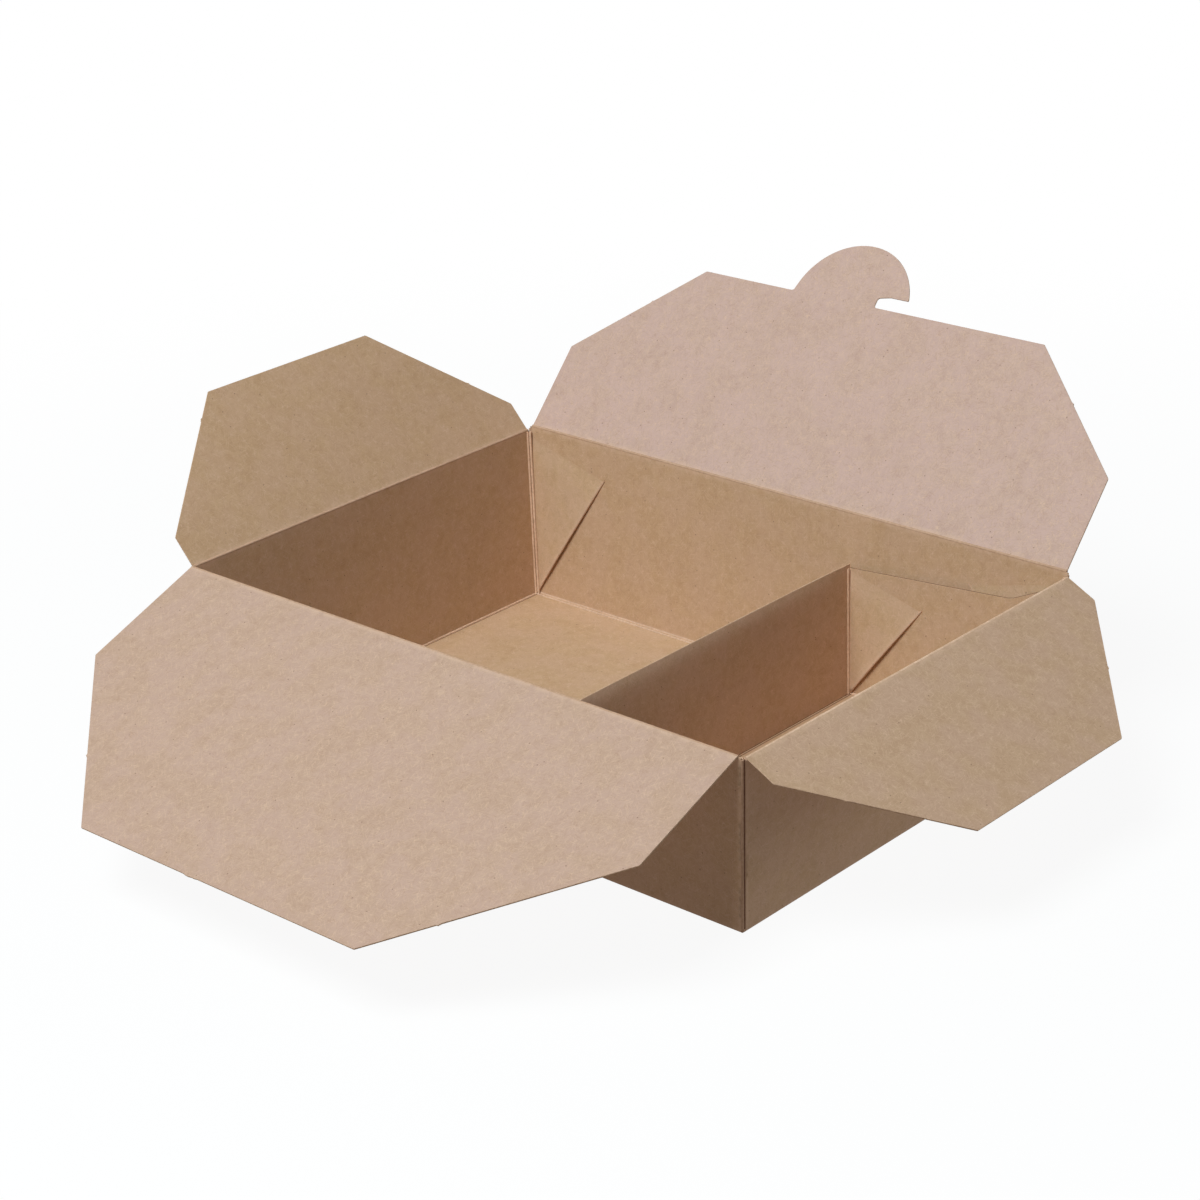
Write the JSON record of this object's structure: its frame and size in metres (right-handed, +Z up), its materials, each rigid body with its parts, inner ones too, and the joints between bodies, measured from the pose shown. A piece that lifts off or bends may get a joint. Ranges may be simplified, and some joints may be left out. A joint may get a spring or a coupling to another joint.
{
  "type": "takeaway box",
  "caption": "Open kraft-board takeaway box: a tapered tray with folded web corners, a glued-in divider insert, and hinged top flaps, one with a hook that tucks under the opposite flap.",
  "frame": {"origin": "centre of the base's underside, on the table", "axes": "+X along the long side towards the divided compartment, +Y from the front flap to the hooked back flap, +Z up"},
  "size_m": [0.2663, 0.2731, 0.1104],
  "materials": {
    "kraft_board": "matte brown kraft board",
    "kraft_insert": "matte brown kraft board"
  },
  "bodies": {
    "box": {"tray": "kraft_board", "divider_insert": "kraft_insert"},
    "front": {"front_flap": "kraft_board"},
    "back": {"back_flap": "kraft_board"},
    "left": {"left_flap": "kraft_board"},
    "right": {"right_flap": "kraft_board"}
  },
  "joints": [
    {"name": "front_fold", "type": "hinge", "parent": "box", "child": "front", "pos_m": [0, -0.06882, 0.0516], "axis": [-1, 0, 0], "range_deg": [-15, 201]},
    {"name": "back_fold", "type": "hinge", "parent": "box", "child": "back", "pos_m": [0, 0.06889, 0.0522], "axis": [1, 0, 0], "range_deg": [-86, 132.8]},
    {"name": "left_fold", "type": "hinge", "parent": "box", "child": "left", "pos_m": [-0.09775, 0, 0.051], "axis": [0, 1, 0], "range_deg": [-138.5, 131.5]},
    {"name": "right_fold", "type": "hinge", "parent": "box", "child": "right", "pos_m": [0.09775, 0, 0.051], "axis": [0, -1, 0], "range_deg": [-62.3, 207.7]}
  ]
}
